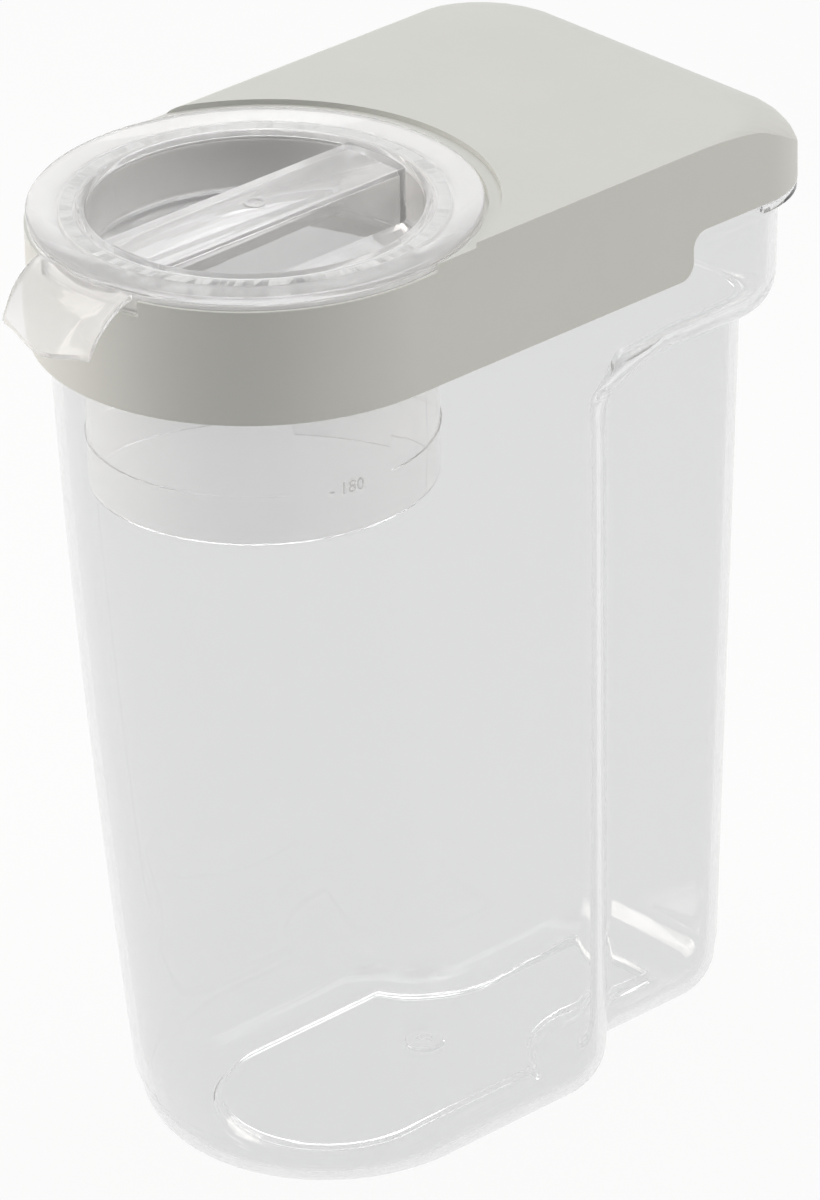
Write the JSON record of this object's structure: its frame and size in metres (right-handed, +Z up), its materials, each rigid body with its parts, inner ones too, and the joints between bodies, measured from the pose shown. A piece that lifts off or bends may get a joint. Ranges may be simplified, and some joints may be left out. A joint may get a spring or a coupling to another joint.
{
  "type": "pouring cereal keeper",
  "caption": "Slim clear cereal or rice keeper with a narrowed grip, an opaque lift-off lid, a front pouring spout and a measuring cap that plugs the mouth.",
  "frame": {"origin": "on the table, under the centre of the bounding box", "axes": "+Z up, the spout points to -Y, the grip and the finger flange are at +Y, X = 0 is the mirror plane"},
  "size_m": [0.1038, 0.199, 0.24],
  "materials": {
    "clear_body": "polished clear",
    "lid_grey": "satin",
    "packing": "silicone, translucent white",
    "clear_ring": "polished clear",
    "clear_cap": "polished clear with a faint violet edge"
  },
  "bodies": {
    "body": {"container_body": "clear_body"},
    "lid_set": {"lid": "lid_grey", "lid_packing": "packing", "spout_ring": "clear_ring", "cap_packing": "packing"},
    "cap": {"measuring_cap": "clear_cap"}
  },
  "joints": [
    {"name": "lid_lift", "type": "slide", "parent": "body", "child": "lid_set", "axis": [0, 0, 1], "range_m": [0, 0.12]},
    {"name": "cap_lift", "type": "slide", "parent": "lid_set", "child": "cap", "axis": [0, 0, 1], "range_m": [0, 0.12]}
  ]
}
